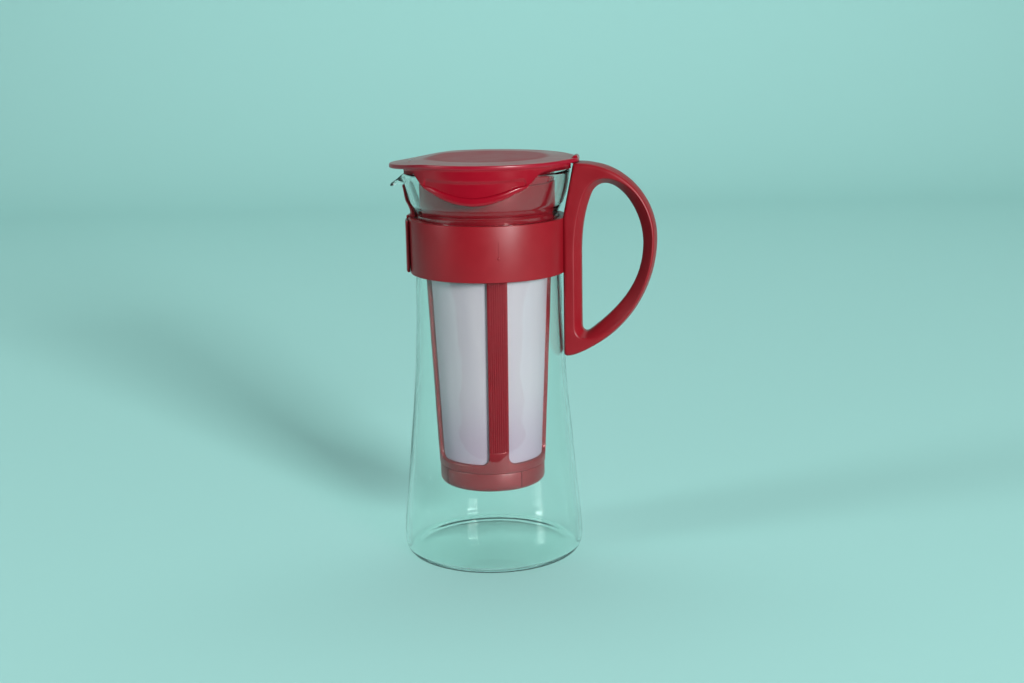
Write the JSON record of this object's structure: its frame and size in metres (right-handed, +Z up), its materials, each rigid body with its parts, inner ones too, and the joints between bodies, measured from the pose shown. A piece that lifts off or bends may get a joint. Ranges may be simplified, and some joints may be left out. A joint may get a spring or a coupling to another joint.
{
  "type": "cold brew coffee pot",
  "caption": "Glass cold brew coffee pot with a pouring spout, a looped handle on a neck band, a hanging mesh filter with a turn-off cap and a lift-off lid.",
  "frame": {"origin": "centre of the carafe's flat base, on the surface it stands on", "axes": "+Z up along the carafe's axis, +X towards the handle, -X towards the spout"},
  "size_m": [0.1375, 0.095, 0.2089],
  "materials": {
    "carafe_glass": "clear, polished",
    "red_plastic": "satin moulded",
    "filter_mesh": "fine woven mesh"
  },
  "bodies": {
    "pot": {"carafe": "carafe_glass", "handle": "red_plastic", "front_clasp": "red_plastic"},
    "filter": {"filter_frame": "red_plastic", "mesh_panel_1": "filter_mesh", "mesh_panel_2": "filter_mesh", "mesh_panel_3": "filter_mesh", "mesh_panel_4": "filter_mesh"},
    "cap": {"filter_cap": "red_plastic"},
    "cover": {"lid": "red_plastic"}
  },
  "joints": [
    {"name": "filter_lift", "type": "slide", "parent": "pot", "child": "filter", "axis": [0, 0, 1], "range_m": [0, 0.17]},
    {"name": "lid_lift", "type": "slide", "parent": "filter", "child": "cover", "axis": [0, 0, 1], "range_m": [0, 0.045]},
    {"name": "cap_turn", "type": "hinge", "parent": "filter", "child": "cap", "pos_m": [0, 0, 0.0425], "axis": [0, 0, 1], "range_deg": [-25, 0]}
  ]
}
